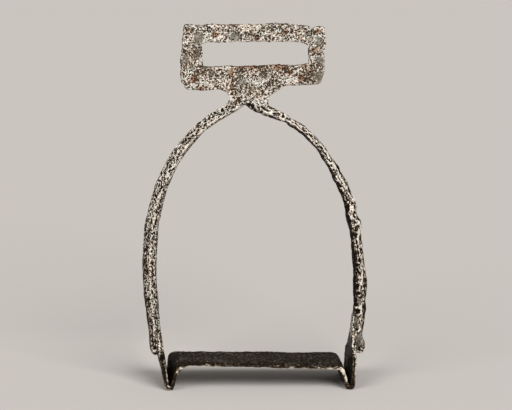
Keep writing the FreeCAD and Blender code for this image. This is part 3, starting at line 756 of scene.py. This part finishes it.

# Painted shade on the left tang, away from the key lamp, and on the inner rims of both tangs
left_tang_foot = 21.0 * mm
left_tang_shade = 0.2
rim_heights = (tang_foot, 45.0 * mm)
rim_reaches = (57.6, 58.6)
rim_shade = 0.45
on_tang = places[:, 2] > tang_foot
tone = wear_and_highlight_paleness * spread(strip.data, worn_and_highlit_spots, front_rim_toward_lamp)
tone -= left_tang_shade * (places[:, 2] > left_tang_foot) * (places[:, 0] < 0)
tone += front_line_paleness * beside(strip.data, front_line, edge_line_reach) * front_rim_toward_lamp
tone += spread(strip.data, same_amount(right_pits, -pit_shade)) * on_tang
past_rim = np.clip(np.abs(places[:, 0]) / mm - np.interp(places[:, 2], rim_heights, rim_reaches), 0, 1)
tone -= rim_shade * (1 - past_rim) * on_tang * (ways[:, 1] < -0.2)
tone += left_fold_paleness * beside(strip.data, left_fold_line, edge_line_reach) * front_rim_toward_lamp

# The right bar's bright line, partly worn and partly painted highlight, and its pits run on over the tang
line, reach, strength = right_foot_line
on_front = (places[:, 1] < 0) * (ways[:, 1] < -0.4)
tone += ridge_paleness * strength * beside(strip.data, line, ridge_width_share * reach) * on_front
write(strip.data, "tone", tone)
write(strip.data, "lift", spread(strip.data, deep_pits(right_pits)) * on_tang)
write(strip.data, "weld", np.interp(places[:, 2], weld_heights, (0, 1)))
run_tree(forged_skin, strip, {
    "Hammer Width": 11.0 * mm, "Hammer Depth": 0.28 * mm, "Lump Width": 2.4 * mm, "Lump Depth": 0.22 * mm,
    "Pit Spacing": 2.4 * mm, "Pit Depth": 0.18 * mm, "Pit Share": 0.5, "Rounding": 8, "Seed": 0.57,
    "Draw": 1.0, "Iron": tread_iron,
})

# The ground has worn the soles of the folds flat
places = points_of(strip.data)[0]
places[:, 2] = np.maximum(places[:, 2], 0)
strip.data.vertices.foreach_set("co", places.ravel())
strip.data.update()

# The hammer drove the bars' iron over the tangs, lower down on the front than on the other sides
front_cover_foot = 21.5 * mm
other_cover_foot = 29.0 * mm
cover_wave = 1.5 * mm
strip.data.materials.append(bar_iron)
strip.data.materials.append(pitted_iron)
for face in strip.data.polygons:
    cover_foot = front_cover_foot if face.normal.y < -0.4 else other_cover_foot
    if face.center.z > cover_foot + cover_wave * math.sin(face.center.y / mm):
        face.material_index = 1 if face.center.x < 0 else 2
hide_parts("tread_strip")
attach(strip, "root")

# Neck plate and strap frame. A flat plate of wrought iron drawn out to a short neck, with two posts and a top
# bar welded on it round the slot for the leather. It is worn pale all over, with rust in the deeper pits and
# grey green scale between them.
frame_voxel = 0.30 * mm
rust_spots = (
    (-24.3, 216.0, 2.0, 1.8, 1.0), (0.4, 213.7, 1.7, 1.6, 1.0), (13.5, 196.0, 4.5, 1.6, 1.0),
    (26.5, 189.7, 1.8, 1.8, 1.1), (34.4, 206.1, 1.5, 2.0, 1.0), (-36.5, 189.8, 2.4, 2.4, 0.9),
    (-33.3, 183.6, 2.4, 1.2, 0.9), (-14.9, 193.6, 1.6, 2.4, 0.7), (-14.3, 185.0, 1.2, 3.4, 0.7),
    (7.8, 174.6, 1.2, 2.4, 1.0), (-13.1, 220.9, 3.0, 1.0, 0.6), (20.3, 192.9, 1.8, 1.4, 0.7),
    (28.2, 196.6, 2.0, 1.0, 0.8), (17.5, 217.1, 1.8, 1.6, 0.7), (9.9, 216.5, 1.2, 1.2, 0.6),
    (36.4, 216.9, 1.6, 1.6, 0.8), (25.8, 214.1, 1.6, 1.6, 0.6), (-9.6, 195.9, 3.0, 1.6, 0.7),
    (-2.0, 196.2, 6.0, 0.9, 0.7), (-40.1, 219.5, 1.2, 1.2, 0.8),
)
calm_spots = (
    (-33.9, 213.7, 2.8, 4.2, 1.0), (-34.9, 204.6, 2.4, 3.0, 1.0), (-41.4, 201.1, 2.4, 2.8, 1.0),
    (-37.8, 197.2, 1.8, 2.0, 0.9), (-26.7, 193.1, 2.6, 2.4, 0.9), (-12.5, 215.0, 4.2, 2.0, 1.0),
    (37.1, 210.8, 2.6, 3.4, 0.9), (4.6, 192.1, 3.6, 3.0, 0.75), (-9.6, 188.9, 4.0, 4.0, 0.8),
    (-4.7, 182.6, 4.0, 3.4, 0.75), (3.4, 219.0, 1.6, 1.2, 0.6), (37.4, 199.5, 3.0, 4.0, 0.8),
    (29.6, 215.4, 1.4, 2.0, 0.7), (-20.2, 219.0, 1.6, 1.2, 0.6), (36.9, 190.6, 3.8, 4.6, 1.0),
)
pale_spots = (
    (-40.5, 188.4, 2.2, 2.4, 0.18), (-19.5, 189.5, 4.0, 2.4, 0.16), (20.4, 189.4, 5.0, 2.4, 0.24),
    (8.5, 184.8, 3.5, 3.0, 0.18), (1.6, 176.2, 4.0, 3.0, 0.16), (-13.8, 178.0, 1.8, 2.4, 0.14),
    (31.0, 188.4, 2.2, 2.0, 0.16), (-28.0, 186.4, 4.0, 1.4, 0.12),
)
dents = (
    (-24.3, 216.0, 1.6, 1.4, -0.4 * mm), (0.4, 213.7, 1.4, 1.2, -0.5 * mm),
    (26.5, 189.7, 1.5, 1.5, -0.5 * mm), (-1.4, 178.5, 1.8, 1.4, -0.6 * mm),
    (-42.1, 186.6, 1.2, 1.4, -0.5 * mm), (-20.7, 189.1, 1.2, 0.9, -0.5 * mm),
)

# Rims painted with a highlight where they catch the light, with the strength of each, and the welds, along
# which neither a rounded rim nor the painted shade of sideways faces shows
bright_rims = (
    (((-30.5, 210.7), (-12.0, 211.1), (4.0, 210.8), (18.0, 211.2), (30.0, 210.6)), 0.55),
    (((41.3, 220.0), (41.6, 211.0), (41.0, 202.0)), 0.4),
    (((-41.5, 221.2), (-28.0, 221.8), (-12.0, 221.2), (10.0, 221.6), (30.0, 221.0)), 0.25),
    (((-42.0, 188.0), (-39.0, 184.6), (-30.0, 183.8), (-21.0, 185.6)), 0.3),
    (((14.0, 183.0), (18.0, 186.2), (27.0, 187.0), (38.0, 186.6)), 0.2),
)
seams = (
    ((-32.3, 225.0), (-32.3, 210.1)), ((33.8, 225.0), (31.5, 208.5)),
    ((31.2, 197.7), (31.2, 180.0)), ((-46.0, 195.5), (-31.0, 196.8)),
)
rim_line_reach = 0.7
seam_reach = 1.2
frame_side_painted_shade = 0.5
rust_shade = 0.1
frame_paleness = {
    "neck_plate": 0.0, "strap_frame_left_post": -0.1, "strap_frame_right_post": 0.05,
    "strap_frame_top_bar": 0.17,
}

# Iron worn pale: cream and buff in broad patches, with fewer dark pits and a breath of rust over all of it
frame_iron = corroded_iron(
    "pale_worn_wrought_iron_frame", ("#524334", "#6C5D4E", "#93867A", "#E2D9CE", "#FFFFFF"),
    level=0.25, contrast=1.6, grain_width=0.76 * mm, stretch=(1.0, 1.0, 1.0),
    net=1.5, blotches=0.8, grains=2.0, patches=3.2, rustiness=0.2)
for node, paleness in frame_paleness.items():
    plate = forged_copy(node, frame_voxel, frame_iron)
    write(plate.data, "lift", spread(plate.data, dents))
    rust = spread(plate.data, rust_spots)
    write(plate.data, "rust", rust)
    write(plate.data, "calm", spread(plate.data, calm_spots))
    weld = np.max([beside(plate.data, seam, seam_reach) for seam in seams], axis=0)
    write(plate.data, "weld", weld)
    # Painted shade on faces turned sideways, but not along the welds; rust is a little darker
    tone = paleness - frame_side_painted_shade * turned_sideways(plate.data) * (1 - weld)
    tone -= rust_shade * np.clip(rust, 0, 1)
    tone += spread(plate.data, pale_spots)
    on_front = points_of(plate.data)[0][:, 1] < 0
    # Painted highlight along the rims
    for line, strength in bright_rims:
        tone += strength * beside(plate.data, line, rim_line_reach) * on_front
    write(plate.data, "tone", tone)
    run_tree(forged_skin, plate, {
        "Hammer Width": 8.0 * mm, "Hammer Depth": 0.36 * mm, "Lump Width": 2.2 * mm, "Lump Depth": 0.42 * mm,
        "Pit Spacing": 1.7 * mm, "Pit Depth": 0.30 * mm, "Pit Share": 0.7, "Rounding": 4, "Seed": 0.83,
        "Draw": 1.0, "Iron": frame_iron,
    })
    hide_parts(node)
    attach(plate, "root")

# Floor. A plain pale studio floor of matt paint, far wider than the view, so that no edge of it shows. The
# stirrup stands on it with the soles of its two V folds.
floor_reach = 4.0
floor_mesh = bpy.data.meshes.new("studio_floor")
floor_mesh.from_pydata(
    [(-floor_reach, -floor_reach, 0), (floor_reach, -floor_reach, 0),
     (floor_reach, floor_reach, 0), (-floor_reach, floor_reach, 0)], [], [(0, 1, 2, 3)])
floor = new_piece("studio_floor", floor_mesh)
floor_paint = bpy.data.materials.new("matt_pale_floor")
floor_paint.use_nodes = True
floor_paint.node_tree.nodes.clear()
floor_shader = add(floor_paint.node_tree, "ShaderNodeBsdfPrincipled", {
    "Base Color": linear("#CFC9C4"), "Roughness": 0.85,
})
add(floor_paint.node_tree, "ShaderNodeOutputMaterial", {"Surface": floor_shader})
floor_mesh.materials.append(floor_paint)

# Light. A large soft lamp in front, to the right and above, a weaker one to the left, and an even pale
# surround. Each lamp holds: its name, its strength, and the way from the stirrup to it.
surround_strength = 0.24
lamp_spread = math.radians(35.0)
lamps = (("key_lamp", 2.4, (0.35, -0.66, 0.66)), ("fill_lamp", 1.1, (-0.55, -0.45, 0.70)))
world = bpy.data.worlds.new("studio")
world.use_nodes = True
world.node_tree.nodes["Background"].inputs["Color"].default_value = linear("#F4F2EF")
world.node_tree.nodes["Background"].inputs["Strength"].default_value = surround_strength
bpy.context.scene.world = world
for name, strength, way in lamps:
    light = bpy.data.lights.new(name, "SUN")
    light.energy = strength
    light.angle = lamp_spread
    lamp = bpy.data.objects.new(name, light)
    lamp.rotation_euler = Vector(way).to_track_quat("Z", "Y").to_euler()
    bpy.context.scene.collection.objects.link(lamp)

# Camera. It looks a little down on the front, from slightly left of the middle, through a long lens. One
# pixel of the image is 0.6 mm at the stirrup.
camera_target = Vector((0, 0, 112.0 * mm))
camera_distance = 1.3
camera_turn = math.radians(-4.0)
camera_rise = math.radians(14.0)
image_width = 512
pixel_size = 0.6 * mm
camera_data = bpy.data.cameras.new("camera")
camera_data.sensor_width = 36.0
camera_data.lens = camera_data.sensor_width * camera_distance / (pixel_size * image_width)
camera = bpy.data.objects.new("camera", camera_data)
back = Vector((math.sin(camera_turn) * math.cos(camera_rise), -math.cos(camera_turn) * math.cos(camera_rise),
               math.sin(camera_rise)))
camera.location = camera_target + back * camera_distance
camera.rotation_euler = (-back).to_track_quat("-Z", "Y").to_euler()
bpy.context.scene.collection.objects.link(camera)
bpy.context.scene.camera = camera
bpy.context.scene.view_settings.view_transform = "Standard"
